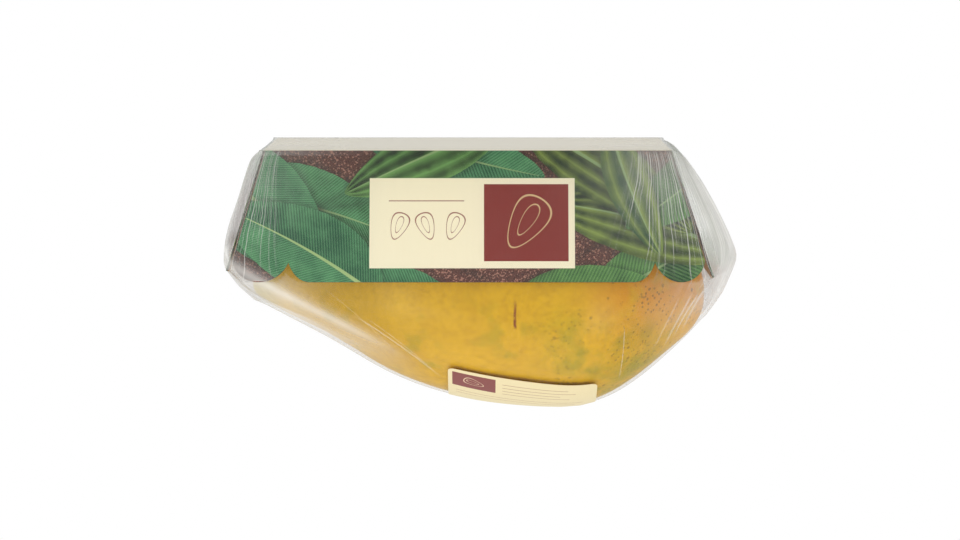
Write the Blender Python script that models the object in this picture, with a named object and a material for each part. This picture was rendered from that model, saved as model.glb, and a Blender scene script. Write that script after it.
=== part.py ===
"""A papaya packed for sale: one whole fruit in a tray folded from fluted card, wrapped in clear stretch
film, with a paper label on the film. Metres, +Z up, standing on the tray's base at Z = 0.
X runs along the fruit, with the blossom end at -X and the stem end at +X."""

import math

import bmesh
import bpy
import numpy as np
from mathutils import Matrix, Vector
from mathutils.bvhtree import BVHTree
from mathutils.geometry import interpolate_bezier

# Thicknesses, and the gap that touching pieces keep
FILM_THICKNESS = 0.0004
CARD_THICKNESS = 0.0016
LABEL_THICKNESS = 0.0003
GAP = 0.0003

# Card tray: a flat base, and four walls that lean outwards from its folds
CARD_UNDERSIDE = FILM_THICKNESS + GAP
CARD_TOP = CARD_UNDERSIDE + CARD_THICKNESS
BASE_BLOSSOM_X = -0.0973
BASE_STEM_X = 0.1100
BASE_HALF_WIDTH = 0.0520
RIM_HEIGHT = 0.0657
BLOSSOM_END_RIM_HEIGHT = 0.0634
STEM_END_RIM_HEIGHT = 0.0602
SIDE_LEAN = math.radians(15.6)
BLOSSOM_END_LEAN = math.radians(17.9)
STEM_END_LEAN = math.radians(16.6)
FOLD_OVERLAP = 0.0008
FOOT = 0.003

# Scalloped rim: a cusp near each end of a long wall, with a rounded ear between it and the corner
CUSP_BLOSSOM_X = -0.0881
CUSP_STEM_X = 0.0957
CUSP_DEPTH = 0.0084
CUSP_HALF_WIDTH = 0.0095
EAR_RADIUS = 0.0096
ARC_STEPS = 6

# Glue flaps: each long wall folds round the corner and runs behind the end wall
FLAP_LENGTH = 0.0260
FLAP_TOP = 0.0515
FLAP_SLOPE = 0.0060
FLAP_BITE = 0.0003

# Fruit: the outline from the blossom tip to the stem scar, as Bezier stretches of (x, radius)
FRUIT_OUTLINE = [
    ((-0.1187, 0.0000), (-0.1187, 0.0155), (-0.1095, 0.0250), (-0.1000, 0.0350), 6),
    ((-0.1000, 0.0350), (-0.0810, 0.0555), (-0.0640, 0.0670), (-0.0420, 0.0670), 7),
    ((-0.0420, 0.0670), (0.0120, 0.0670), (0.0420, 0.0565), (0.0670, 0.0395), 9),
    ((0.0670, 0.0395), (0.0800, 0.0306), (0.1000, 0.0237), (0.1120, 0.0175), 6),
    ((0.1120, 0.0175), (0.1180, 0.0144), (0.1205, 0.0110), (0.1195, 0.0075), 4),
]
STEM_SCAR_X = 0.1172
STEM_SCAR_RADIUS = 0.0062
FRUIT_TURN_STEPS = 44
FRUIT_WIDTH_SHARE = 0.975
FRUIT_HEIGHT_SHARE = 1.016
FRUIT_AXIS_DROP = 0.02
BLOSSOM_LIFT = 0.0075
BLOSSOM_LIFT_START_X = -0.080
BLOSSOM_LIFT_RUN = 0.040
LOBES = 5
LOBE_HEIGHT = 0.009
BELLY_X = -0.042

# Film: where the gathered film stands off the end walls, as (x, half width, z)
BLOSSOM_GATHERS = [
    (-0.1058, 0.046, 0.0060),
    (-0.1145, 0.050, 0.0170),
    (-0.1228, 0.054, 0.0319),
    (-0.1310, 0.054, 0.0485),
    (-0.1350, 0.036, 0.0585),
    (-0.1275, 0.018, 0.0790),
    (-0.1192, 0.010, 0.0915),
]
STEM_GATHERS = [
    (0.1155, 0.047, 0.0040),
    (0.1222, 0.052, 0.0206),
    (0.1300, 0.056, 0.0390),
    (0.1333, 0.050, 0.0510),
    (0.1350, 0.032, 0.0640),
    (0.1275, 0.018, 0.0755),
    (0.1188, 0.010, 0.0828),
]
GATHER_ROWS = 3
GATHER_COLUMNS = 9
GATHER_ROUNDING = 0.0045

# Film: its points lie on lines from its middle through a box cut into cells, and it is drawn in along them
FILM_MIDDLE = Vector((0.0, 0.0, 0.0655))
FILM_BOX = (0.2726, 0.1424, 0.1256)
FILM_HALF_WIDTH = 0.0716
FILM_HALF_LENGTH = 0.1351
FILM_CUTS = 13
DRAW_STEPS = 240
DRAW_EASE = 0.9
DRAWN_SHARE = 0.5
LAST_LIFTS = 40
LEAST_FACING = 0.3
LEAST_DOWNWARD = 0.05
LIFT_ROUNDS = 4
TOUCH_SPACING = 0.0025
DRAW_CLEARANCE = 0.0006
FLAT_UNDER = 0.0006
SEAM_GAP = (0.046, 0.004)

# Label: its lower edge runs from one angle off the crown to another, seen along the fruit
LABEL_STEM_X = 0.0165
LABEL_BLOSSOM_X = -0.0605
LABEL_STEM_ANGLE = math.radians(-47.0)
LABEL_BLOSSOM_ANGLE = math.radians(-38.0)
LABEL_HEIGHT = 0.0550
LABEL_CORNER = 0.0032
LABEL_COLUMNS = 12
LABEL_ROWS = 9
LABEL_BEND_RADIUS = 0.0685
LABEL_AXIS_HEIGHT = 0.0710
LABEL_GAP = 0.0011
OUTSIDE = 0.2

# Colours, as linear red, green and blue
SKIN_YELLOW = (0.66, 0.42, 0.05)
PRINT_GREEN = (0.09, 0.22, 0.11)
FILM_WHITE = (0.86, 0.86, 0.84)
LABEL_CREAM = (0.90, 0.84, 0.62)


def clear_scene():
    """Remove whatever the file holds."""
    for thing in list(bpy.data.objects):
        bpy.data.objects.remove(thing, do_unlink=True)


def make_material(name, colour, roughness, metallic=0.0, alpha=1.0):
    """A Principled material with one colour."""
    material = bpy.data.materials.new(name)
    material.use_nodes = True
    shader = material.node_tree.nodes["Principled BSDF"]
    shader.inputs["Base Color"].default_value = (*colour, 1.0)
    shader.inputs["Roughness"].default_value = roughness
    shader.inputs["Metallic"].default_value = metallic
    shader.inputs["Alpha"].default_value = alpha
    return material


def add_object(name, mesh_builder, material=None, smooth_angle=None):
    """Turn a bmesh into a named object, shaded smooth below an angle where one is given."""
    mesh = bpy.data.meshes.new(name)
    mesh_builder.to_mesh(mesh)
    mesh_builder.free()
    if smooth_angle is not None:
        mesh.shade_smooth()
        mesh.set_sharp_from_angle(angle=smooth_angle)
    if material is not None:
        mesh.materials.append(material)
    thing = bpy.data.objects.new(name, mesh)
    bpy.context.scene.collection.objects.link(thing)
    return thing


def evaluated_bmesh(thing):
    """The object's mesh with its modifiers applied, as a bmesh."""
    bpy.context.view_layer.update()
    builder = bmesh.new()
    builder.from_object(thing, bpy.context.evaluated_depsgraph_get())
    return builder


# Fruit


def fruit_profile():
    """Points (x, radius) from the blossom tip to the middle of the stem scar."""
    points = []
    for start, leave, arrive, end, steps in FRUIT_OUTLINE:
        stretch = interpolate_bezier(Vector(start), Vector(leave), Vector(arrive), Vector(end), steps)
        points += stretch[1:] if points else stretch
    points.append(Vector((STEM_SCAR_X, STEM_SCAR_RADIUS)))
    points.append(Vector((STEM_SCAR_X, 0.0)))
    return points


def fruit_axis(x):
    """The height of the fruit's axis over its height at the belly: it turns up at the blossom end."""
    turned_up = max(0.0, (BLOSSOM_LIFT_START_X - x) / BLOSSOM_LIFT_RUN)
    return BLOSSOM_LIFT * turned_up ** 2 - FRUIT_AXIS_DROP * (x - BELLY_X)


def fruit_section(x, radius, turn):
    """A point on the skin: the section is nearly round, with five faint lobes."""
    lobe = 1.0 + LOBE_HEIGHT * math.cos(LOBES * turn)
    across = radius * lobe * math.sin(turn) * FRUIT_WIDTH_SHARE
    height = radius * lobe * math.cos(turn) * FRUIT_HEIGHT_SHARE + fruit_axis(x)
    return Vector((x, across, height))


def build_papaya(material):
    """The fruit: rings round the profile, closed by a point at each end, set down on the card."""
    builder = bmesh.new()
    profile = fruit_profile()
    rings = []
    for x, radius in profile[1:-1]:
        turns = (math.tau * step / FRUIT_TURN_STEPS for step in range(FRUIT_TURN_STEPS))
        rings.append([builder.verts.new(fruit_section(x, radius, turn)) for turn in turns])
    blossom_tip = builder.verts.new(fruit_section(*profile[0], 0.0))
    scar_middle = builder.verts.new(fruit_section(*profile[-1], 0.0))
    for step in range(FRUIT_TURN_STEPS):
        after = (step + 1) % FRUIT_TURN_STEPS
        builder.faces.new((blossom_tip, rings[0][after], rings[0][step]))
        builder.faces.new((scar_middle, rings[-1][step], rings[-1][after]))
        for near, far in zip(rings, rings[1:]):
            builder.faces.new((near[step], near[after], far[after], far[step]))
    lowest = min(vert.co.z for vert in builder.verts)
    bmesh.ops.translate(builder, verts=builder.verts, vec=(0.0, 0.0, CARD_TOP + GAP - lowest))
    bmesh.ops.recalc_face_normals(builder, faces=builder.faces)
    return add_object("papaya", builder, material, smooth_angle=math.radians(50.0))


# Card tray


def arc(centre, radius, start, end, steps=ARC_STEPS):
    """Points on a circle from one angle to another, both ends included."""
    turns = (start + (end - start) * step / steps for step in range(steps + 1))
    return [(centre[0] + radius * math.cos(t), centre[1] + radius * math.sin(t)) for t in turns]


def slope_length(height, lean):
    """How far up a leaning wall a height above the fold lies."""
    return (height - CARD_UNDERSIDE) / math.cos(lean)


def corner_run(base_x, lean, slope):
    """Where a long wall ends at a distance up its slope: in the middle of the end wall's card."""
    height = slope * math.cos(SIDE_LEAN)
    out = height * math.tan(lean) - FOLD_OVERLAP
    return base_x + math.copysign(out, base_x)


def ear_outline(cusp_x, base_x, lean):
    """One scalloped end of a long wall's rim, from the slanted end in to the plain rim."""
    top = slope_length(RIM_HEIGHT, SIDE_LEAN)
    side = math.copysign(1.0, base_x)
    shoulder = top - EAR_RADIUS
    corner_x = corner_run(base_x, lean, shoulder)
    half_turn = 2.0 * math.atan2(CUSP_DEPTH, CUSP_HALF_WIDTH)
    radius = CUSP_HALF_WIDTH / math.sin(half_turn)
    up = math.pi / 2.0
    outer = arc((corner_x - side * EAR_RADIUS, shoulder), EAR_RADIUS, up - side * up, up)
    into_cusp = arc((cusp_x + side * CUSP_HALF_WIDTH, top - radius), radius, up, up + side * half_turn)
    out_of_cusp = arc((cusp_x - side * CUSP_HALF_WIDTH, top - radius), radius, up - side * half_turn, up)
    return outer + into_cusp + out_of_cusp[1:]


def long_wall_outline():
    """The long wall in its own plane: along X, and up its slope."""
    below = -FOOT
    stem = ear_outline(CUSP_STEM_X, BASE_STEM_X, STEM_END_LEAN)
    blossom = ear_outline(CUSP_BLOSSOM_X, BASE_BLOSSOM_X, BLOSSOM_END_LEAN)
    feet = [
        (corner_run(BASE_BLOSSOM_X, BLOSSOM_END_LEAN, 0.0), below),
        (corner_run(BASE_STEM_X, STEM_END_LEAN, 0.0), below),
    ]
    return feet + stem + blossom[::-1]


def end_wall_outline(lean, rim_height):
    """The end wall in its own plane: along Y, and up its slope. It covers the long walls' ends."""
    top = slope_length(rim_height, lean)
    foot_half = BASE_HALF_WIDTH - FOOT * math.cos(lean) * math.tan(SIDE_LEAN)
    top_half = BASE_HALF_WIDTH + top * math.cos(lean) * math.tan(SIDE_LEAN)
    return [(-foot_half, -FOOT), (foot_half, -FOOT), (top_half, top), (-top_half, top)]


def flap_outline(lean, side):
    """One glue flap behind an end wall: from the long wall's card inwards, its top sloping down."""
    def edge(height):
        return BASE_HALF_WIDTH + (height - CARD_UNDERSIDE) * math.tan(SIDE_LEAN) - FOLD_OVERLAP

    low, high = CARD_UNDERSIDE + FLAP_BITE, FLAP_TOP
    inner_high = high - FLAP_SLOPE
    corners = [(edge(low), low), (edge(high), high), (edge(high) - FLAP_LENGTH, inner_high)]
    corners.append((edge(low) - FLAP_LENGTH, low))
    return [(side * across, slope_length(height, lean)) for across, height in corners]


def plate(name, outline, origin, along, up, thickness):
    """A flat piece of card: an outline in the plane of two directions, thickened towards the inside."""
    builder = bmesh.new()
    verts = [builder.verts.new(origin + along * u + up * v) for u, v in outline]
    face = builder.faces.new(verts)
    face.normal_update()
    to_middle = Vector((0.0, 0.0, RIM_HEIGHT)) - face.calc_center_median()
    inward = face.normal.copy()
    if inward.dot(to_middle) < 0.0:
        inward.negate()
    extruded = bmesh.ops.extrude_face_region(builder, geom=[face])["geom"]
    moved = [item for item in extruded if isinstance(item, bmesh.types.BMVert)]
    bmesh.ops.translate(builder, verts=moved, vec=inward * thickness)
    bmesh.ops.recalc_face_normals(builder, faces=builder.faces)
    trimmed = bmesh.ops.bisect_plane(
        builder,
        geom=[*builder.verts, *builder.edges, *builder.faces],
        plane_co=(0.0, 0.0, CARD_UNDERSIDE),
        plane_no=(0.0, 0.0, 1.0),
        clear_inner=True,
    )
    rim = [item for item in trimmed["geom_cut"] if isinstance(item, bmesh.types.BMEdge)]
    if rim:
        bmesh.ops.edgeloop_fill(builder, edges=rim)
    bmesh.ops.recalc_face_normals(builder, faces=builder.faces)
    return add_object(name, builder)


def build_long_walls():
    """The front and back walls."""
    walls = []
    for side, name in ((-1.0, "front"), (1.0, "back")):
        origin = Vector((0.0, side * BASE_HALF_WIDTH, CARD_UNDERSIDE))
        up = Vector((0.0, side * math.sin(SIDE_LEAN), math.cos(SIDE_LEAN)))
        walls.append(plate(name, long_wall_outline(), origin, Vector((1.0, 0.0, 0.0)), up, CARD_THICKNESS))
    return walls


def build_end_walls():
    """The two end walls, each with two glue flaps on its inner face."""
    walls = []
    along = Vector((0.0, 1.0, 0.0))
    for base_x, lean, rim_height, name in (
        (BASE_BLOSSOM_X, BLOSSOM_END_LEAN, BLOSSOM_END_RIM_HEIGHT, "blossom_end"),
        (BASE_STEM_X, STEM_END_LEAN, STEM_END_RIM_HEIGHT, "stem_end"),
    ):
        side = math.copysign(1.0, base_x)
        up = Vector((side * math.sin(lean), 0.0, math.cos(lean)))
        inward = Vector((-side * math.cos(lean), 0.0, math.sin(lean)))
        origin = Vector((base_x, 0.0, CARD_UNDERSIDE))
        walls.append(plate(name, end_wall_outline(lean, rim_height), origin, along, up, CARD_THICKNESS))
        behind = origin + inward * (CARD_THICKNESS - FLAP_BITE)
        for flap_side in (-1.0, 1.0):
            outline = flap_outline(lean, flap_side)
            walls.append(plate(f"{name}_flap", outline, behind, along, up, CARD_THICKNESS))
    return walls


def build_card_tray(material):
    """The folded blank: base, walls and flaps joined as one body."""
    builder = bmesh.new()
    length = BASE_STEM_X - BASE_BLOSSOM_X - 2.0 * FOLD_OVERLAP
    width = 2.0 * (BASE_HALF_WIDTH - FOLD_OVERLAP)
    middle = Vector(((BASE_STEM_X + BASE_BLOSSOM_X) / 2.0, 0.0, CARD_UNDERSIDE + CARD_THICKNESS / 2.0))
    size = Matrix.Diagonal((length, width, CARD_THICKNESS, 1.0))
    bmesh.ops.create_cube(builder, size=1.0, matrix=Matrix.Translation(middle) @ size)
    tray = add_object("card_tray", builder, material)
    folded = bpy.data.collections.new("folded_walls")
    for wall in build_long_walls() + build_end_walls():
        bpy.context.scene.collection.objects.unlink(wall)
        folded.objects.link(wall)
    join = tray.modifiers.new("join", "BOOLEAN")
    join.operation = "UNION"
    join.solver = "EXACT"
    join.operand_type = "COLLECTION"
    join.collection = folded
    joined = evaluated_bmesh(tray)
    tray.modifiers.remove(join)
    joined.to_mesh(tray.data)
    joined.free()
    for wall in list(folded.objects):
        bpy.data.objects.remove(wall, do_unlink=True)
    bpy.data.collections.remove(folded)
    return tray


# Film


def gather_points(gathers):
    """Points over the bulge of film that stands off one end wall."""
    points = []
    for (x, half_width, z), (next_x, next_half_width, next_z) in zip(gathers, gathers[1:]):
        for row in range(GATHER_ROWS):
            share = row / GATHER_ROWS
            reach = x + (next_x - x) * share
            width = half_width + (next_half_width - half_width) * share
            height = z + (next_z - z) * share
            for column in range(GATHER_COLUMNS):
                across = 2.0 * column / (GATHER_COLUMNS - 1) - 1.0
                inward = math.copysign(GATHER_ROUNDING * abs(across) ** 3, reach)
                points.append(Vector((reach - inward, width * across, height)))
    return points


def touch_points(papaya, tray, clearance):
    """Points that the film passes over, a clearance outside the fruit, the tray and the gathers."""
    points = [vert.co + vert.normal * clearance for vert in papaya.data.vertices]
    points += [face.center + face.normal * clearance for face in papaya.data.polygons]
    tray_middle = Vector(((BASE_STEM_X + BASE_BLOSSOM_X) / 2.0, 0.0, RIM_HEIGHT / 2.0))
    places = [vert.co for vert in tray.data.vertices]
    for edge in tray.data.edges:
        start, end = (places[index] for index in edge.vertices)
        steps = max(1, int((end - start).length / TOUCH_SPACING))
        for step in range(steps + 1):
            point = start.lerp(end, step / steps)
            away = point - tray_middle
            points.append(point + Vector([math.copysign(clearance, part) for part in away]))
    return points + gather_points(BLOSSOM_GATHERS) + gather_points(STEM_GATHERS)


def taut_skin(points):
    """The convex skin round a set of points."""
    builder = bmesh.new()
    for point in points:
        builder.verts.new(point)
    hull = bmesh.ops.convex_hull(builder, input=builder.verts)
    spare = set(hull["geom_interior"] + hull["geom_unused"])
    loose = [item for item in spare if isinstance(item, bmesh.types.BMVert)]
    bmesh.ops.delete(builder, geom=loose, context="VERTS")
    bmesh.ops.recalc_face_normals(builder, faces=builder.faces)
    return builder


def film_net():
    """The box that the film's points are spread by: directions, each one's neighbours, and triangles."""
    builder = bmesh.new()
    bmesh.ops.create_cube(builder, size=1.0, matrix=Matrix.Diagonal((*FILM_BOX, 1.0)))
    lengthwise = [edge for edge in builder.edges if edge.calc_length() > max(FILM_BOX) * 0.99]
    bmesh.ops.subdivide_edges(builder, edges=lengthwise, cuts=1, use_grid_fill=True)
    bmesh.ops.subdivide_edges(builder, edges=builder.edges, cuts=FILM_CUTS, use_grid_fill=True)
    builder.verts.index_update()
    directions = np.array([vert.co.normalized() for vert in builder.verts])
    neighbours = []
    for vert in builder.verts:
        around = [edge.other_vert(vert).index for edge in vert.link_edges]
        neighbours.append((around + around)[:4] if len(around) < 4 else around[:4])
    bmesh.ops.triangulate(builder, faces=builder.faces)
    triangles = [[vert.index for vert in face.verts] for face in builder.faces]
    builder.free()
    return directions, np.array(neighbours), np.array(triangles)


def net_normals(places, triangles):
    """Each point's outward normal."""
    first, second, third = (places[triangles[:, corner]] for corner in range(3))
    faces = np.cross(second - first, third - first)
    total = np.zeros_like(places)
    for corner in range(3):
        np.add.at(total, triangles[:, corner], faces)
    return total / np.linalg.norm(total, axis=1)[:, None]


def draw_film(points):
    """Draw the film in from the convex skin until its own pull, or what it covers, holds it."""
    directions, neighbours, triangles = film_net()
    convex = taut_skin(points)
    start = BVHTree.FromBMesh(convex)
    convex.free()
    reach = []
    for direction in directions:
        way = Vector(direction)
        place = start.ray_cast(FILM_MIDDLE + way * OUTSIDE, -way)[0]
        reach.append((place - FILM_MIDDLE).length)
    reach = np.array(reach)
    middle = np.array(FILM_MIDDLE)
    floor_reach = middle[2] / np.maximum(-directions[:, 2], LEAST_DOWNWARD)
    floor_reach = np.where(directions[:, 2] < -LEAST_DOWNWARD, floor_reach, np.inf)
    side_reach = FILM_HALF_WIDTH / np.maximum(np.abs(directions[:, 1]), LEAST_DOWNWARD)
    end_reach = FILM_HALF_LENGTH / np.maximum(np.abs(directions[:, 0]), LEAST_DOWNWARD)
    most = np.minimum(np.minimum(floor_reach, side_reach), end_reach)

    net = BVHTree.FromPolygons([Vector(direction) for direction in directions], triangles.tolist())
    touch = np.array(points) - middle
    lengths = np.linalg.norm(touch, axis=1)
    touch /= lengths[:, None]
    hits = [net.ray_cast(Vector((0.0, 0.0, 0.0)), Vector(direction))[2] for direction in touch]
    under = triangles[hits]
    convex_reach = reach.copy()
    for step in range(DRAW_STEPS):
        places = directions * reach[:, None]
        normals = net_normals(places, triangles)
        facing = np.maximum((normals * directions).sum(1), LEAST_FACING)
        pulled = (normals * places[neighbours].mean(1)).sum(1) / facing
        reach = reach + (pulled - reach) * DRAW_EASE
        for _ in range(LIFT_ROUNDS):
            reach = reach + film_lift(directions, reach, under, touch, lengths)
            reach = np.minimum(reach, most)
    reach = reach * DRAWN_SHARE + convex_reach * (1.0 - DRAWN_SHARE)
    for _ in range(LAST_LIFTS):
        reach = np.minimum(reach + film_lift(directions, reach, under, touch, lengths), most)
    return directions, reach, triangles


def film_lift(directions, reach, under, touch, lengths):
    """How far each of the film's points must move out for its triangles to clear the touch points."""
    corners = [directions[under[:, corner]] * reach[under[:, corner]][:, None] for corner in range(3)]
    first, second, third = corners
    normal = np.cross(second - first, third - first)
    covered = (normal * first).sum(1) / (normal * touch).sum(1)
    short = np.maximum(lengths - covered, 0.0)
    place = touch * covered[:, None]
    square = (normal * normal).sum(1)
    shares = [
        (np.cross(third - second, place - second) * normal).sum(1) / square,
        (np.cross(first - third, place - third) * normal).sum(1) / square,
        (np.cross(second - first, place - first) * normal).sum(1) / square,
    ]
    total = sum(share * share for share in shares)
    lift = np.zeros_like(reach)
    for corner, share in enumerate(shares):
        np.maximum.at(lift, under[:, corner], short * share.clip(0.0, 1.0) / total)
    return lift


def film_skin(directions, reach, triangles):
    """The drawn film as a mesh, with the flat part under the base as one face."""
    builder = bmesh.new()
    middle = np.array(FILM_MIDDLE)
    verts = [builder.verts.new(middle + direction * far) for direction, far in zip(directions, reach)]
    for triangle in triangles:
        builder.faces.new([verts[index] for index in triangle])
    bmesh.ops.recalc_face_normals(builder, faces=builder.faces)
    bmesh.ops.dissolve_limit(builder, angle_limit=0.0005, verts=builder.verts, edges=builder.edges)
    return builder


def build_film_wrap(papaya, tray, material):
    """A thin shell round everything, open at a narrow gap where its edges meet under the base."""
    points = touch_points(papaya, tray, GAP + FILM_THICKNESS + DRAW_CLEARANCE)
    directions, reach, triangles = draw_film(points)
    middle = np.array(FILM_MIDDLE)
    flat = middle[2] + directions[:, 2] * reach < FLAT_UNDER
    reach = np.where(flat, middle[2] / np.maximum(-directions[:, 2], LEAST_DOWNWARD), reach)
    facing = (net_normals(directions * reach[:, None], triangles) * directions).sum(1)
    inside = reach - FILM_THICKNESS / np.maximum(facing, LEAST_FACING)
    raised = (middle[2] - FILM_THICKNESS) / np.maximum(-directions[:, 2], LEAST_DOWNWARD)
    inside = np.where(flat, raised, inside)
    outer = film_skin(directions, reach, triangles)
    inner = film_skin(directions, inside, triangles)
    bmesh.ops.reverse_faces(inner, faces=inner.faces)
    inner_mesh = bpy.data.meshes.new("film_inside")
    inner.to_mesh(inner_mesh)
    inner.free()
    outer.from_mesh(inner_mesh)
    bpy.data.meshes.remove(inner_mesh)
    film = add_object("film_wrap", outer, material, smooth_angle=math.radians(40.0))

    slit = bmesh.new()
    through = FILM_THICKNESS + GAP / 2.0
    size = Matrix.Diagonal((SEAM_GAP[0], SEAM_GAP[1], 2.0 * through, 1.0))
    bmesh.ops.create_cube(slit, size=1.0, matrix=size)
    cutter = add_object("seam_gap", slit)
    cutter.hide_render = True
    cutter.display_type = "WIRE"
    cut = film.modifiers.new("seam_gap", "BOOLEAN")
    cut.operation = "DIFFERENCE"
    cut.solver = "EXACT"
    cut.object = cutter
    return film


# Label


def label_lines(length, corner, count):
    """Grid lines across a length, with one a corner's radius in from each end."""
    inside = length - 2.0 * corner
    steps = [corner + inside * step / (count - 2) for step in range(count - 1)]
    return [0.0, *steps, length]


def label_grid():
    """Distances (along, across) on the flat label, row by row, with its four corners rounded off."""
    length = LABEL_STEM_X - LABEL_BLOSSOM_X
    columns = label_lines(length, LABEL_CORNER, LABEL_COLUMNS)
    rows = label_lines(LABEL_HEIGHT, LABEL_CORNER, LABEL_ROWS)
    inset = LABEL_CORNER * (1.0 - math.sqrt(0.5))
    grid = []
    for row, across in enumerate(rows):
        line = []
        for column, along in enumerate(columns):
            if row in (0, len(rows) - 1) and column in (0, len(columns) - 1):
                along = inset if column == 0 else length - inset
                across_here = inset if row == 0 else LABEL_HEIGHT - inset
                line.append((along, across_here))
            else:
                line.append((along, across))
        grid.append(line)
    return grid


def grid_edges(grid):
    """The four edges of a grid of vertices, in order round it."""
    return [grid[0], [row[-1] for row in grid], grid[-1][::-1], [row[0] for row in grid][::-1]]


def build_label(film, material):
    """The paper label, laid on the film over the crown of the fruit."""
    wrapped = evaluated_bmesh(film)
    surface = BVHTree.FromBMesh(wrapped)
    wrapped.free()
    length = LABEL_STEM_X - LABEL_BLOSSOM_X
    under, over = [], []
    builder = bmesh.new()
    for line in label_grid():
        low_row, high_row = [], []
        for along, across in line:
            share = along / length
            first = LABEL_STEM_ANGLE + (LABEL_BLOSSOM_ANGLE - LABEL_STEM_ANGLE) * share
            turn = first + across / LABEL_BEND_RADIUS
            outward = Vector((0.0, math.sin(turn), math.cos(turn)))
            start = Vector((LABEL_STEM_X - along, 0.0, LABEL_AXIS_HEIGHT)) + outward * OUTSIDE
            place, normal, _, _ = surface.ray_cast(start, -outward)
            low_row.append(builder.verts.new(place + normal * LABEL_GAP))
            high_row.append(builder.verts.new(place + normal * (LABEL_GAP + LABEL_THICKNESS)))
        under.append(low_row)
        over.append(high_row)
    for grid, flip in ((under, True), (over, False)):
        for near, far_row in zip(grid, grid[1:]):
            for column in range(len(near) - 1):
                corners = [near[column], near[column + 1], far_row[column + 1], far_row[column]]
                builder.faces.new(corners[::-1] if flip else corners)
    for low_edge, high_edge in zip(grid_edges(under), grid_edges(over)):
        for step in range(len(low_edge) - 1):
            builder.faces.new((low_edge[step], low_edge[step + 1], high_edge[step + 1], high_edge[step]))
    bmesh.ops.recalc_face_normals(builder, faces=builder.faces)
    return add_object("label_sticker", builder, material, smooth_angle=math.radians(40.0))


def main():
    """Make the four pieces."""
    clear_scene()
    papaya = build_papaya(make_material("papaya_skin", SKIN_YELLOW, 0.42))
    tray = build_card_tray(make_material("printed_card", PRINT_GREEN, 0.5))
    film = build_film_wrap(papaya, tray, make_material("clear_film", FILM_WHITE, 0.12, alpha=0.25))
    build_label(film, make_material("label_paper", LABEL_CREAM, 0.45))


main()
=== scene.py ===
import math

import bmesh
import bpy
import numpy as np
from mathutils import Matrix, Vector, noise
from mathutils.bvhtree import BVHTree


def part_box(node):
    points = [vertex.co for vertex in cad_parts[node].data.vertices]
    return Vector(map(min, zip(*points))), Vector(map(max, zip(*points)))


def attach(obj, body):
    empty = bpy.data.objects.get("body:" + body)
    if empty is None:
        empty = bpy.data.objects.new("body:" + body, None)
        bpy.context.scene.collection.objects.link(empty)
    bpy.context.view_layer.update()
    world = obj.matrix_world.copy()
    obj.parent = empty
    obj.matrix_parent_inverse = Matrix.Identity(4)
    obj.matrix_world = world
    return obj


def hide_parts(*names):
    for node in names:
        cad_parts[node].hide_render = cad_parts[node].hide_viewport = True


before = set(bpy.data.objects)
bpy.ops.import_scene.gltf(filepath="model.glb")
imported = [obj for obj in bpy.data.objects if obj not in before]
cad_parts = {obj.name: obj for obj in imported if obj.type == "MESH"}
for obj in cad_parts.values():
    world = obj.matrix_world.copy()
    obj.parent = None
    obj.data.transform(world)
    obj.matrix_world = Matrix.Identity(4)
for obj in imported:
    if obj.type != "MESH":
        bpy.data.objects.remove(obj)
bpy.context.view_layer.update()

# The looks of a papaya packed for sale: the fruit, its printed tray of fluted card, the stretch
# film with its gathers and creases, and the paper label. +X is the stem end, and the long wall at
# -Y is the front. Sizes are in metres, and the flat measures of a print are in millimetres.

MM = 0.001
ALONG_X = np.array((1.0, 0.0, 0.0))
ALONG_Y = np.array((0.0, 1.0, 0.0))

# Fruit
STEM_SCAR_X = 0.1168
STEM_SCAR_HEIGHT = 0.0655
SCRATCH_X = -0.0177
DENT_SCALE = 26.0
FINE_DENT_SCALE = 2.7

# Card tray, as the frame's solid has it
BASE_HALF_WIDTH = 0.0520
BASE_STEM_X = 0.1100
BASE_BLOSSOM_X = -0.0973
CARD_UNDERSIDE = 0.0007
SIDE_LEAN = math.radians(15.6)
STEM_END_LEAN = math.radians(16.6)
BLOSSOM_END_LEAN = math.radians(17.9)
CARD_THICKNESS = 0.0016
LINER = 0.00026
FLUTE_PITCH = 0.0032
FLUTE_SHEET = 0.00024
FLUTE_STEPS = 8

FOLD_RADIUS = 0.0008
FOLD_STEPS = 6
WALL_GAP = 0.0001
RIM_HEIGHT = 0.0657
BLOSSOM_END_RIM_HEIGHT = 0.0634
STEM_END_RIM_HEIGHT = 0.0602
CUSP_BLOSSOM_X = -0.0881
CUSP_STEM_X = 0.0964
CUSP_DEPTH = 0.0100
CUSP_HALF_WIDTH = 0.0106
CUSP_ANGLE = 0.42
EAR_DROP = 0.0106
FLAP_LENGTH = 0.0260
FLAP_TOP = 0.0515
FLAP_SLOPE = 0.0060
FLAP_FOOT = 0.0034

# Print. The ends are printed from their own part of the sheet, far from the long walls'.
END_PRINT = 1000.0 * MM
END_PRINT_SHIFT = 1030.0
LEAF_POINT = 0.7
VEIN_SLANT = 0.8
RIBBING = 0.26
PANEL = (-47.8, 55.7, 14.3, 60.5)
PANEL_SQUARE = (-44.6, -2.0, 17.4, 56.9)
PANEL_RULE = (8.0, 46.0, 25.78, 26.22)

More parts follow.
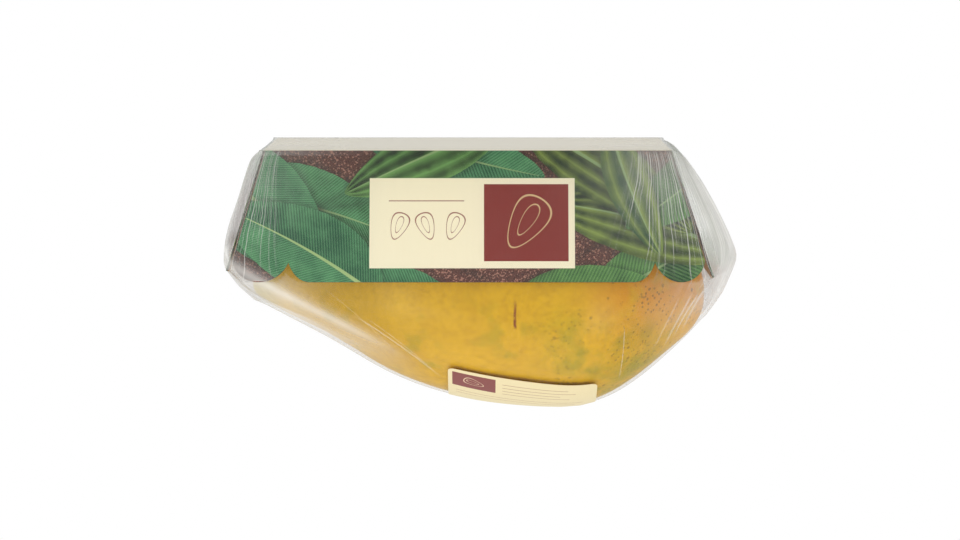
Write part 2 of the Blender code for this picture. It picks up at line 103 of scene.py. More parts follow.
# Film
FILM_CELL = 0.00148
FILM_CLEARANCE = 0.00035
FAR_OUT = 0.3
RELAX_STEPS = 90
FILM_MIDDLE = Vector((0.0, 0.0, 0.0655))
FILM_HALF_LENGTH = 0.1350
MOST_SINK = 0.0050
EVENING_ROUNDS = 50
MOST_STEP = 0.0003
STEP_SHARE = 0.95
LEAST_FACING = 0.30
GATHER_ROWS = 34
GATHER_COLUMNS = 65
BLOSSOM_GATHERS = [
    (-0.1058, 0.046, 0.0060),
    (-0.1145, 0.050, 0.0170),
    (-0.1228, 0.054, 0.0319),
    (-0.1310, 0.054, 0.0485),
    (-0.1350, 0.036, 0.0585),
    (-0.1275, 0.018, 0.0790),
    (-0.1192, 0.010, 0.0915),
]
STEM_GATHERS = [
    (0.1155, 0.047, 0.0040),
    (0.1222, 0.052, 0.0206),
    (0.1300, 0.056, 0.0390),
    (0.1333, 0.050, 0.0510),
    (0.1350, 0.032, 0.0640),
    (0.1275, 0.018, 0.0755),
    (0.1188, 0.010, 0.0828),
]

# Creases over the fruit: from this height to that, from this x to that, how far they bow, half
# width, strength
FRUIT_CREASES = [
    (0.0670, 0.1080, 0.0810, 0.0415, -0.0120, 0.00060, 0.12),
    (0.0820, 0.1210, 0.0660, 0.0180, -0.0080, 0.00110, 0.30),
    (0.0840, 0.1160, 0.0590, 0.0230, -0.0060, 0.00050, 0.30),
    (0.0880, 0.1230, -0.0730, -0.0715, -0.0030, 0.00040, 0.35),
    (0.0700, 0.1060, -0.1075, -0.0945, 0.0000, 0.00110, 0.34),
    (0.0700, 0.1000, -0.1110, -0.0995, 0.0010, 0.00070, 0.40),
    (0.0720, 0.1080, -0.1010, -0.0880, 0.0000, 0.00080, 0.22),
    (0.0680, 0.0980, -0.1140, -0.1040, 0.0010, 0.00120, 0.30),
]
FAN_DEPTH = 0.0350

# A painted highlight on the film: the soft lights' reflection as a milky band along where the film
# leaves the fruit, its lowest point and how it climbs from there
SHEEN_STEM_X = 0.1225
SHEEN_LOW = 0.0640
SHEEN_LENGTH = 0.0900
SHEEN_CLIMB = 0.0520
CORNER_REACH = 0.036

# Label, as the frame's solid has it
LABEL_STEM_X = 0.0165
LABEL_BLOSSOM_X = -0.0605
LABEL_STEM_ANGLE = math.radians(-47.0)
LABEL_BLOSSOM_ANGLE = math.radians(-38.0)
LABEL_HEIGHT = 0.0550
LABEL_CORNER = 0.0032
LABEL_BEND_RADIUS = 0.0685
LABEL_AXIS_HEIGHT = 0.0710
LABEL_COLUMNS = 79
LABEL_ROWS = 56
LABEL_LIFT = 0.00042
LABEL_THICKNESS = 0.00022
LABEL_BLOCK = (2.2, 24.5, 2.6, 17.6)
LABEL_RULES = ((6.6, 62.0), (10.2, 66.0), (13.8, 58.0), (17.4, 63.0), (24.0, 70.0), (28.0, 66.0))

# Camera and light
CAMERA_PLACE = Vector((0.0, -1.53, -0.098))
CAMERA_AIM = Vector((0.0, 0.0, 0.0672))
PHOTO_WIDTH = 960
FOCAL_PIXELS = 2924.0
SENSOR_MM = 36.0
WORLD_LIGHT = 0.74
WORLD_COLOUR = (0.98, 0.99, 1.0, 1.0)
WHITE = (1.0, 1.0, 1.0, 1.0)
LIT_MARGIN = 0.002
# Soft lights: name, place, aim, size, power in watts
LAMPS = (
    ("overhead", (0.1, -0.3, 1.5), (0.0, 0.0, 0.05), 1.4, 4.0),
    ("front_left", (-1.1, -1.2, 0.9), (0.0, 0.0, 0.06), 0.9, 6.5),
    ("front_right", (1.2, -1.0, 0.6), (0.0, 0.0, 0.06), 0.9, 5.5),
)


class Signal:
    """One output in a material's nodes. Arithmetic on it adds Math nodes."""

    def __init__(self, finish, socket):
        self.finish = finish
        self.socket = socket

    def math(self, operation, *others):
        inputs = dict(enumerate((self, *others)))
        return self.finish.node("Math", {"operation": operation}, inputs)

    def __add__(self, other):
        return self.math("ADD", other)

    __radd__ = __add__

    def __sub__(self, other):
        return self.math("SUBTRACT", other)

    def __rsub__(self, other):
        return self.finish.node("Math", {"operation": "SUBTRACT"}, {0: other, 1: self})

    def __mul__(self, other):
        return self.math("MULTIPLY", other)

    __rmul__ = __mul__

    def __truediv__(self, other):
        return self.math("DIVIDE", other)

    def __pow__(self, other):
        return self.math("POWER", other)

    def __abs__(self):
        return self.math("ABSOLUTE")

    def sin(self):
        return self.math("SINE")

    def below(self, limit):
        return self.math("LESS_THAN", limit)

    def above(self, limit):
        return self.math("GREATER_THAN", limit)

    def least(self, other):
        return self.math("MINIMUM", other)

    def most(self, other):
        return self.math("MAXIMUM", other)

    def rise(self, low, high):
        """0 below low, 1 above high, and a smooth step between. With low over high it falls."""
        kind = {"interpolation_type": "SMOOTHSTEP"}
        return self.finish.node("MapRange", kind, {0: self, 1: low, 2: high})


class Finish:
    """A material as it is being made, with the one way to add a node."""

    def __init__(self, name):
        self.material = bpy.data.materials.new(name)
        self.material.use_nodes = True
        self.tree = self.material.node_tree
        self.tree.nodes.clear()

    def node(self, kind, settings=None, inputs=None, output=0):
        made = self.tree.nodes.new("ShaderNode" + kind)
        for key, value in (settings or {}).items():
            setattr(made, key, value)
        for key, value in (inputs or {}).items():
            if isinstance(value, Signal):
                self.tree.links.new(value.socket, made.inputs[key])
            else:
                made.inputs[key].default_value = value
        return Signal(self, made.outputs[output])

    def object_place(self):
        return self.node("TexCoord", output="Object")

    def uv(self, name):
        return self.node("UVMap", {"uv_map": name})

    def attribute(self, name):
        return self.node("Attribute", {"attribute_name": name}, output="Fac")

    def parts(self, vector):
        made = self.node("SeparateXYZ", inputs={0: vector}).socket.node
        return [Signal(self, socket) for socket in made.outputs]

    def vector(self, x, y, z=0.0):
        return self.node("CombineXYZ", inputs={0: x, 1: y, 2: z})

    def stretched(self, vector, scale):
        return self.node("Mapping", inputs={"Vector": vector, "Scale": scale})

    def noise(self, vector, scale, detail=3.0, roughness=0.55):
        inputs = {"Vector": vector, "Scale": scale, "Detail": detail, "Roughness": roughness}
        return self.node("TexNoise", inputs=inputs)

    def cells(self, vector, scale, output="Distance"):
        return self.node("TexVoronoi", inputs={"Vector": vector, "Scale": scale}, output=output)

    def blend(self, factor, low, high, kind="MIX"):
        settings = {"data_type": "RGBA", "blend_type": kind, "clamp_factor": True}
        return self.node("Mix", settings, {0: factor, 6: low, 7: high}, output=2)

    def chance(self, number):
        """A random number from 0 to 1 for each whole number."""
        return self.node("TexWhiteNoise", {"noise_dimensions": "1D"}, {"W": number})

    def bump(self, height, distance, strength=1.0):
        inputs = {"Height": height, "Distance": distance, "Strength": strength}
        return self.node("Bump", inputs=inputs)

    def principled(self, **inputs):
        named = {}
        for key, value in inputs.items():
            named[key.replace("_", " ").title().replace("Ior", "IOR")] = value
        return self.node("BsdfPrincipled", inputs=named)

    def done(self, shader):
        """Wire the last shader to the material's output."""
        output = self.tree.nodes.new("ShaderNodeOutputMaterial")
        self.tree.links.new(shader.socket, output.inputs["Surface"])
        return self.material


def srgb(red, green, blue):
    """A colour given as the picture shows it, 0 to 255, in Blender's linear light."""
    linear = []
    for part in (red, green, blue):
        share = part / 255.0
        linear.append(share / 12.92 if share <= 0.04045 else ((share + 0.055) / 1.055) ** 2.4)
    return (*linear, 1.0)


# Making meshes


def alone(piece):
    """Select this piece and nothing else."""
    bpy.ops.object.select_all(action="DESELECT")
    piece.select_set(True)
    bpy.context.view_layer.objects.active = piece


def settle(piece):
    """Apply every modifier, top first."""
    alone(piece)
    for modifier in list(piece.modifiers):
        bpy.ops.object.modifier_apply(modifier=modifier.name)


def numbers(mesh_items, key, width, kind=float):
    values = np.empty(len(mesh_items) * width, kind)
    mesh_items.foreach_get(key, values)
    return values.reshape(-1, width) if width > 1 else values


def set_uv(piece, name, per_vertex):
    """A UV map from one (u, v) pair for each vertex."""
    layer = piece.data.uv_layers.new(name=name)
    corners = numbers(piece.data.loops, "vertex_index", 1, np.int32)
    layer.data.foreach_set("uv", per_vertex.astype(np.float32)[corners].ravel())


def set_number(piece, name, per_vertex):
    """A named number on each vertex, for a material to read."""
    attribute = piece.data.attributes.new(name, "FLOAT", "POINT")
    attribute.data.foreach_set("value", per_vertex.astype(np.float32))


def laid_grid(name, places, outward, flat=None):
    """A grid primitive with its rows of points set on the places given, facing outwards."""
    rows, columns = places.shape[:2]
    bpy.ops.object.select_all(action="DESELECT")
    bpy.ops.mesh.primitive_grid_add(
        x_subdivisions=columns - 1, y_subdivisions=rows - 1, size=1.0, calc_uvs=False
    )
    piece = bpy.context.object
    piece.name = name
    middle_row, middle = rows // 2 - (rows == 2), columns // 2
    across = places[middle_row, middle] - places[middle_row, middle - 1]
    upward = places[middle_row + 1, middle] - places[middle_row, middle]
    if np.dot(np.cross(across, upward), outward) < 0.0:
        places = places[:, ::-1]
        flat = None if flat is None else flat[:, ::-1]
    piece.data.vertices.foreach_set("co", places.astype(np.float32).ravel())
    if flat is not None:
        set_uv(piece, "Print", flat.reshape(-1, 2) / MM)
    return piece


def thicken(piece, thickness, offset=-1.0):
    """Give a sheet its thickness. Its inner side and cut edges take the second material."""
    shell = piece.modifiers.new("card", "SOLIDIFY")
    shell.thickness = thickness
    shell.offset = offset
    shell.material_offset = 1
    shell.material_offset_rim = 1
    settle(piece)
    return piece


def joined(name, pieces, materials, smooth=40.0):
    """Several meshes as one piece."""
    for piece in pieces:
        piece.data.materials.clear()
        for material in materials:
            piece.data.materials.append(material)
    alone(pieces[0])
    for piece in pieces[1:]:
        piece.select_set(True)
    if len(pieces) > 1:
        bpy.ops.object.join()
    pieces[0].name = name
    bpy.ops.object.shade_smooth_by_angle(angle=math.radians(smooth))
    return pieces[0]


def fitted(piece, slot, *nodes):
    """Fix a finished piece to the frame."""
    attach(piece, "root")
    if nodes:
        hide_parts(*nodes)


# Fruit


def fruit_skin():
    """Ripe papaya skin: golden, with an orange blush, green mottling, specks and one scratch."""
    skin = Finish("ripe_papaya_skin")
    place = skin.object_place()
    x, y, z = skin.parts(place)
    broad = skin.noise(place, 22.0, 3.0)
    cloudy = skin.noise(place, 55.0, 4.0, 0.6)
    fine = skin.noise(place, 420.0, 5.0, 0.7)
    colour = skin.blend(broad.rise(0.35, 0.65), srgb(224, 176, 14), srgb(215, 168, 22))
    colour = skin.blend(cloudy.rise(0.45, 0.8) * 0.5, colour, srgb(232, 186, 34))
    mid = skin.noise(place, 190.0, 3.0, 0.6)
    colour = skin.blend(mid.rise(0.42, 0.72) * 0.42, colour, srgb(192, 146, 14))
    colour = skin.blend(x.rise(0.02, 0.10) * 0.55, colour, srgb(220, 184, 62))
    colour = skin.blend(fine.rise(0.35, 0.7) * 0.30, colour, srgb(184, 134, 14))

    green_reach = x.rise(-0.020, -0.050) * x.rise(-0.108, -0.082) * z.rise(0.072, 0.095)
    patches = (cloudy * 0.6 + skin.noise(place, 120.0, 4.0, 0.6) * 0.4).rise(0.40, 0.64)
    colour = skin.blend(green_reach * patches * 0.80, colour, srgb(156, 144, 20))
    faint_patches = (broad * 0.5 + skin.noise(place, 85.0, 3.0) * 0.5).rise(0.55, 0.66)
    colour = skin.blend(faint_patches * z.rise(0.06, 0.10) * 0.50, colour, srgb(170, 152, 22))

    blush = x.rise(-0.040, -0.085) * z.rise(0.112, 0.070) * cloudy.rise(0.25, 0.55)
    colour = skin.blend(blush * 0.72, colour, srgb(226, 142, 26))
    stem_green = x.rise(0.098, 0.116)
    colour = skin.blend(stem_green * 0.5, colour, srgb(150, 148, 62))

    speck_reach = (blush * 1.0 + green_reach * 0.55 + 0.12).least(1.0)
    size = skin.noise(place, 60.0, 2.0).rise(0.35, 0.7) * 0.22 + 0.12
    specks = (size - skin.cells(place, 430.0)).rise(-0.05, 0.07) * speck_reach
    large = (0.13 - skin.cells(place, 95.0)).rise(0.0, 0.06) * speck_reach
    colour = skin.blend((specks * 0.58).most(large * 0.75), colour, srgb(104, 78, 26))

    wander = (skin.noise(place, 160.0, 2.0) - 0.5) * 0.0016
    line = abs(x - SCRATCH_X + wander).rise(0.0012, 0.0002)
    reach = z.rise(0.0730, 0.0830) * z.rise(0.0915, 0.0890) * y.rise(-0.02, -0.03)
    broken = skin.noise(skin.stretched(place, (1.0, 1.0, 0.5)), 520.0, 3.0).rise(0.30, 0.52)
    colour = skin.blend(line * reach * (broken * 0.6 + 0.35), colour, srgb(128, 58, 34))

    up = z - STEM_SCAR_HEIGHT
    from_axis = (y * y + up * up).math("SQRT")
    scar = (x - STEM_SCAR_X).rise(0.0, 0.0006) * from_axis.rise(0.0085, 0.0068)
    colour = skin.blend(scar, colour, srgb(112, 86, 52))
    height = fine * 0.25 + cloudy * 1.4 + specks * 0.15
    skin_gloss = (cloudy * 0.16 + 0.30).least(0.6)
    shader = skin.principled(
        base_color=colour,
        roughness=skin_gloss,
        normal=skin.bump(height, 0.0012, 0.35),
        specular_ior_level=0.28,
        coat_weight=0.06,
        coat_roughness=0.2,
    )
    return skin.done(shader)


def make_fruit():
    """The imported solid's own shape, made smooth, with soft hollows and bumps."""
    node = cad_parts["papaya"]
    fruit = bpy.data.objects.new("ripe_papaya", node.data.copy())
    bpy.context.scene.collection.objects.link(fruit)
    fruit.data.materials.clear()
    alone(fruit)
    bpy.ops.object.mode_set(mode="EDIT")
    bpy.ops.mesh.select_all(action="SELECT")
    bpy.ops.mesh.remove_doubles(threshold=0.00001)
    bpy.ops.mesh.tris_convert_to_quads()
    bpy.ops.mesh.normals_make_consistent(inside=False)
    bpy.ops.object.mode_set(mode="OBJECT")
    rounder = fruit.modifiers.new("rounder", "SUBSURF")
    rounder.levels = 2
    rounder.render_levels = 2
    settle(fruit)
    points = numbers(fruit.data.vertices, "co", 3)
    outward = numbers(fruit.data.vertices, "normal", 3)
    dents = []
    for point in points:
        spot = Vector(point) * DENT_SCALE
        fine = noise.noise(spot * FINE_DENT_SCALE)
        dents.append(noise.noise(spot) * 0.00055 + fine * 0.00022 - 0.0004)
    moved = points + outward * np.array(dents)[:, None]
    fruit.data.vertices.foreach_set("co", moved.astype(np.float32).ravel())
    joined("ripe_papaya", [fruit], [fruit_skin()], 60.0)
    fitted(fruit, "fruit_skin", "papaya")


# Card tray


class Panel:
    """A flat wall of the tray, measured along its fold, up its slope and into its card."""

    def __init__(self, origin, along, up, outward):
        self.origin, self.along, self.up, self.outward = map(np.array, (origin, along, up, outward))

    def at(self, along, up, depth=0.0):
        along, up, depth = (np.asarray(part, float)[..., None] for part in (along, up, depth))
        return self.origin + self.along * along + self.up * up - self.outward * depth


def long_panel(side):
    up = (0.0, side * math.sin(SIDE_LEAN), math.cos(SIDE_LEAN))
    outward = (0.0, side * math.cos(SIDE_LEAN), -math.sin(SIDE_LEAN))
    return Panel((0.0, side * BASE_HALF_WIDTH, CARD_UNDERSIDE), (1.0, 0.0, 0.0), up, outward)


def end_panel(base_x, lean):
    side = math.copysign(1.0, base_x)
    up = (side * math.sin(lean), 0.0, math.cos(lean))
    outward = (side * math.cos(lean), 0.0, -math.sin(lean))
    return Panel((base_x, 0.0, CARD_UNDERSIDE), (0.0, 1.0, 0.0), up, outward)


ENDS = ((BASE_BLOSSOM_X, BLOSSOM_END_LEAN), (BASE_STEM_X, STEM_END_LEAN))
END_RIMS = {BASE_BLOSSOM_X: BLOSSOM_END_RIM_HEIGHT, BASE_STEM_X: STEM_END_RIM_HEIGHT}
WALL_TOP = (RIM_HEIGHT - CARD_UNDERSIDE) / math.cos(SIDE_LEAN)


def fold_reach(lean):
    """How far a rounded fold reaches from its corner along either side."""
    return FOLD_RADIUS * math.tan((math.pi / 2.0 - lean) / 2.0)


def wall_end(base_x, lean, slope):
    """Where a long wall stops, at a distance up its slope: on the inside of the end wall."""
    lean_out = np.asarray(slope) * math.cos(SIDE_LEAN) * math.tan(lean)
    out = lean_out - CARD_THICKNESS / math.cos(lean) - WALL_GAP
    return base_x + math.copysign(1.0, base_x) * out


def curve_up(foot, top, first, steps=18):
    """A rounded line from a foot to a top, (x, height) each, that arrives level at the top."""
    turns = np.linspace(first, math.pi / 2.0, steps + 1)
    across = (math.cos(first) - np.cos(turns)) / math.cos(first)
    rise = (np.sin(turns) - math.sin(first)) / (1.0 - math.sin(first))
    (foot_x, foot_up), (top_x, top_up) = foot, top
    line = zip(foot_x + (top_x - foot_x) * across, foot_up + (top_up - foot_up) * rise)
    return [(float(x), float(up)) for x, up in line]


def ear(cusp_x, base_x, lean):
    """One scalloped end of a rim, from the wall's slanted end in to the plain rim."""
    shoulder = WALL_TOP - EAR_DROP
    corner_x = float(wall_end(base_x, lean, shoulder))
    cusp = (cusp_x, WALL_TOP - CUSP_DEPTH)
    ear_top = (corner_x * 0.53 + cusp_x * 0.47, WALL_TOP)
    rim_start = (cusp_x - math.copysign(CUSP_HALF_WIDTH, cusp_x), WALL_TOP)
    outer = curve_up((corner_x, shoulder), ear_top, 0.15)
    into = curve_up(cusp, ear_top, CUSP_ANGLE)
    out_of = curve_up(cusp, rim_start, CUSP_ANGLE)
    return outer + into[::-1][1:] + out_of[1:]


def rim_line():
    """The long wall's top edge as (x, distance up the slope), blossom end to stem end."""
    stem = ear(CUSP_STEM_X, BASE_STEM_X, STEM_END_LEAN)
    blossom = ear(CUSP_BLOSSOM_X, BASE_BLOSSOM_X, BLOSSOM_END_LEAN)
    return np.array(blossom + stem[::-1])


def long_liner(depth):
    """Front wall, base and back wall as one folded liner: its points and its flat measurements."""
    rim = rim_line()
    first, last = (wall_end(*end, rim[:, 1]) for end in ENDS)
    share = (rim[:, 0] - first) / (last - first)
    reach = fold_reach(SIDE_LEAN)
    turn = math.pi / 2.0 - SIDE_LEAN
    rows, flat = [], []
    for side in (-1.0, 1.0):
        panel = long_panel(side)
        half = []
        for fraction in (1.0, 0.8, 0.6, 0.4, 0.2, 0.0):
            up = reach + fraction * (rim[:, 1] - reach)
            low, high = (wall_end(*end, up) for end in ENDS)
            x = low + share * (high - low)
            half.append((panel.at(x, up, depth), np.stack((-side * x, up), 1)))
        corner = np.array((0.0, side * (BASE_HALF_WIDTH - reach), CARD_UNDERSIDE + FOLD_RADIUS))
        ends_up = [float(wall_end(*end, reach)) for end in ENDS]
        ends_base = [end[0] - math.copysign(fold_reach(end[1]), end[0]) for end in ENDS]
        for step in range(FOLD_STEPS - 1, -1, -1):
            part = step / FOLD_STEPS
            bent = turn * part
            low, high = (a + (b - a) * part for a, b in zip(ends_base, ends_up))
            x = low + share * (high - low)
            outward = np.array((0.0, side * math.sin(bent), -math.cos(bent)))
            points = corner + outward * (FOLD_RADIUS - depth) + x[:, None] * ALONG_X
            half.append((points, np.stack((-side * x, np.full_like(x, reach * part)), 1)))
        half = half if side < 0 else half[::-1]
        rows += [points for points, _ in half]
        flat += [measured for _, measured in half]
    return np.stack(rows), np.stack(flat)


def end_liner(end, depth):
    """An end wall's liner, from its rounded fold up to its rim."""
    base_x, lean = end
    side = math.copysign(1.0, base_x)
    panel = end_panel(base_x, lean)
    reach = fold_reach(lean)
    across = np.linspace(-1.0, 1.0, 7)
    rows, flat = [], []
    top = (END_RIMS[base_x] - CARD_UNDERSIDE) / math.cos(lean)
    corner = np.array((base_x - side * reach, 0.0, CARD_UNDERSIDE + FOLD_RADIUS))
    for step in range(FOLD_STEPS):
        part = step / FOLD_STEPS
        bent = (math.pi / 2.0 - lean) * part
        outward = np.array((side * math.sin(bent), 0.0, -math.cos(bent)))
        width = (BASE_HALF_WIDTH - fold_reach(SIDE_LEAN) * (1.0 - part)) * across
        rows.append(corner + outward * (FOLD_RADIUS - depth) + width[:, None] * ALONG_Y)
        flat.append(np.stack((END_PRINT + side * width, np.full_like(width, reach * part)), 1))
    for fraction in (0.0, 0.25, 0.5, 0.75, 1.0):
        up = reach + fraction * (top - reach)
        width = (BASE_HALF_WIDTH + up * math.cos(lean) * math.tan(SIDE_LEAN)) * across
        rows.append(panel.at(width, np.full_like(width, up), depth))
        flat.append(np.stack((END_PRINT + side * width, np.full_like(width, up)), 1))
    return np.stack(rows), np.stack(flat)


def wave(distance):
    """The depth of the fluted sheet's middle at a distance along the card."""
    swing = (CARD_THICKNESS - 2.0 * LINER - FLUTE_SHEET) / 2.0
    return CARD_THICKNESS / 2.0 + swing * np.cos(distance * math.tau / FLUTE_PITCH)


def long_flutes(side):
    """The flutes of a long wall run up its slope, and show as waves along its rim."""
    rim = rim_line()
    steps = int((rim[-1, 0] - rim[0, 0]) / FLUTE_PITCH * FLUTE_STEPS)
    x = np.linspace(rim[0, 0] + 0.0002, rim[-1, 0] - 0.0002, steps)
    high = np.interp(x, rim[:, 0], rim[:, 1])
    low = np.full_like(x, fold_reach(SIDE_LEAN))
    for base_x, lean in ENDS:
        past = np.abs(x) - abs(base_x) + CARD_THICKNESS / math.cos(lean)
        foot = past / math.tan(lean) / math.cos(SIDE_LEAN)
        low = np.where(x * base_x > 0.0, np.maximum(low, foot), low)
    low = np.minimum(low, high - 0.0004)
    panel = long_panel(side)
    rows = np.stack([panel.at(x, low + (high - low) * part, wave(x)) for part in (0.0, 0.5, 1.0)])
    return thicken(laid_grid("flutes", rows, panel.outward), FLUTE_SHEET, 0.0)


def end_flutes(end):
    """The flutes of an end wall run across it, and show as waves down its slanted edges."""
    base_x, lean = end
    panel = end_panel(base_x, lean)
    top = (END_RIMS[base_x] - CARD_UNDERSIDE) / math.cos(lean)
    up = np.linspace(fold_reach(lean) * 0.5, top, int(top / FLUTE_PITCH * FLUTE_STEPS))
    width = BASE_HALF_WIDTH + up * math.cos(lean) * math.tan(SIDE_LEAN)
    rows = np.stack([panel.at(width * part, up, wave(up)) for part in (-1.0, 0.0, 1.0)])
    return thicken(laid_grid("flutes", rows, panel.outward), FLUTE_SHEET, 0.0)


def flap_start(height):
    """How far out a flap starts, just inside the long wall's card."""
    return BASE_HALF_WIDTH + height * math.tan(SIDE_LEAN) - CARD_THICKNESS * 1.15


def flap_lines(end, side):
    """Across, low and high lines of a glue flap on the inside of an end wall."""
    lean = end[1]
    steps = int(FLAP_LENGTH / FLUTE_PITCH * FLUTE_STEPS)
    share = np.linspace(0.0, 1.0, steps)
    height = FLAP_TOP - FLAP_SLOPE * share - CARD_UNDERSIDE
    low_up = np.full_like(share, FLAP_FOOT)
    high_up = height / math.cos(lean)
    low_across = side * (flap_start(FLAP_FOOT) - share * FLAP_LENGTH)
    high_across = side * (flap_start(height) - share * FLAP_LENGTH)
    return low_across, low_up, high_across, high_up


def flap_sheet(end, side, depth, thickness, offset=-1.0):
    """One layer of a glue flap."""
    panel = end_panel(*end)
    low_across, low_up, high_across, high_up = flap_lines(end, side)
    rows = np.stack([panel.at(low_across, low_up, depth), panel.at(high_across, high_up, depth)])
    return thicken(laid_grid("flap", rows, panel.outward), thickness, offset)


def make_tray():
    """Printed liner outside, fluted sheet in the middle, plain liner inside, all folded as one."""
    outside, inside, middle = [], [], []
    below = np.array((0.0, 0.0, -1.0))
    places, flat = long_liner(0.0)
    outside.append(thicken(laid_grid("liner", places, below, flat), LINER))
    places, flat = long_liner(CARD_THICKNESS - LINER)
    inside.append(thicken(laid_grid("liner", places, below, flat), LINER))
    for end in ENDS:
        outward = end_panel(*end).outward
        places, flat = end_liner(end, 0.0)
        outside.append(thicken(laid_grid("liner", places, outward, flat), LINER))
        places, flat = end_liner(end, CARD_THICKNESS - LINER)
        inside.append(thicken(laid_grid("liner", places, outward, flat), LINER))
        middle.append(end_flutes(end))
        for side in (-1.0, 1.0):
            start = CARD_THICKNESS + WALL_GAP
            inside.append(flap_sheet(end, side, start, LINER))
            inside.append(flap_sheet(end, side, start + CARD_THICKNESS - LINER, LINER))
            across = flap_lines(end, side)[0]
            middle.append(flap_sheet(end, side, start + wave(across), FLUTE_SHEET, 0.0))
    middle += [long_flutes(side) for side in (-1.0, 1.0)]
    cut = cut_card()
    outer = joined("printed_liner", outside, [leaf_print(), cut])
    fitted(outer, "printed_card", "card_tray")
    inner = joined("plain_liner", inside, [kraft_paper("brown_liner", 172, 140, 104), cut])
    fitted(inner, "printed_card")
    flutes = joined("fluted_sheet", middle, [kraft_paper("fluted_paper", 84, 56, 38), cut])
    fitted(flutes, "printed_card")


def kraft_paper(name, red, green, blue):
    """Brown recycled paper: short fibres and faint flecks."""
    paper = Finish(name)
    place = paper.object_place()
    fibre = paper.noise(paper.stretched(place, (1.0, 2.6, 1.0)), 900.0, 4.0, 0.7)
    cloud = paper.noise(place, 130.0, 3.0)
    tone = (fibre * 0.6 + cloud * 0.5).rise(0.3, 0.8)
    dark = srgb(red * 0.86, green * 0.84, blue * 0.80)
    light = srgb(red * 1.08, green * 1.08, blue * 1.08)
    colour = paper.blend(tone, dark, light)
    normal = paper.bump(fibre, 0.0002, 0.5)
    return paper.done(paper.principled(base_color=colour, roughness=0.86, normal=normal))


def cut_card():
    """The cut edge and inner side of a liner: paler, fibrous paper."""
    card = Finish("cut_card")
    fibre = card.noise(card.object_place(), 1500.0, 3.0)
    colour = card.blend(fibre.rise(0.3, 0.7), srgb(186, 164, 134), srgb(222, 206, 180))
    return card.done(card.principled(base_color=colour, roughness=0.9))


# Print


def leaf(sheet, u, v, mottle, below, base, angle, length, half_width, bend, dark, light, **style):
    """One printed leaf over what is below it: its midrib, its veins and the shade that it casts."""
    turn = math.radians(angle)
    du, dv = u - base[0], v - base[1]
    along = (du * math.cos(turn) + dv * math.sin(turn)) / length
    across = (dv * math.cos(turn) - du * math.sin(turn)) / length - along * along * bend
    side = abs(across)
    taper = (along * (1.0 - along)).most(0.0) ** LEAF_POINT
    width = taper * (half_width / length * 4.0 ** LEAF_POINT) * (1.18 - along * 0.36)
    wavy = (mottle - 0.5) * 0.02
    room = width - side + wavy * width.above(0.004)
    inside = room.above(0.0) * along.above(0.0) * along.below(1.0)
    shade = (room + 0.03).rise(-0.02, 0.05) * 0.5
    below = sheet.blend(shade, below, srgb(24, 34, 26))
    if style.get("pleats"):
        swing = ((across / width.most(0.01)) * style["pleats"] + mottle * 1.6).sin()
        rib = swing + swing.rise(0.75, 1.0) * 0.9
    else:
        slanted = along * length - side * length * VEIN_SLANT
        rib = (slanted * (math.tau / style["pitch"])).sin()
    tone = mottle * 1.4 - 0.31 + rib * RIBBING + across.above(0.0) * style.get("fold", 0.2) - 0.08
    tone = tone + room.rise(0.05, 0.0) * 0.12
    colour = sheet.blend(tone, dark, light)
    in_midrib = (1.08 - along) * style.get("midrib", 0.011) - side
    midrib = in_midrib.rise(-0.0012, 0.0016) * along.below(0.97)
    colour = sheet.blend(midrib * 0.85, colour, style.get("rib", srgb(150, 178, 120)))
    return sheet.blend(inside, below, colour)


def within(u, v, left, right, low, high):
    """1 inside a rectangle of a print, 0 outside."""
    return u.above(left) * u.below(right) * v.above(low) * v.below(high)


def halved_fruit(u, v, centre, size, turn):
    """The thin outline of a halved fruit with its seed hollow."""
    angle = math.radians(turn)
    du, dv = u - centre[0], v - centre[1]
    along = (du * math.cos(angle) + dv * math.sin(angle)) / size
    across = (dv * math.cos(angle) - du * math.sin(angle)) / size
    pear = (along * along + (across * (1.75 + along * 0.75)) ** 2.0).math("SQRT")
    hollow = ((along + 0.12) ** 2.0 + (across * (2.9 + along * 1.2)) ** 2.0).math("SQRT")
    line = 0.16 / size ** 0.5
    skin_line = abs(pear - 1.0).rise(line, line * 0.4)
    seed_line = abs(hollow - 0.62).rise(line * 0.9, line * 0.3)
    return skin_line.most(seed_line)


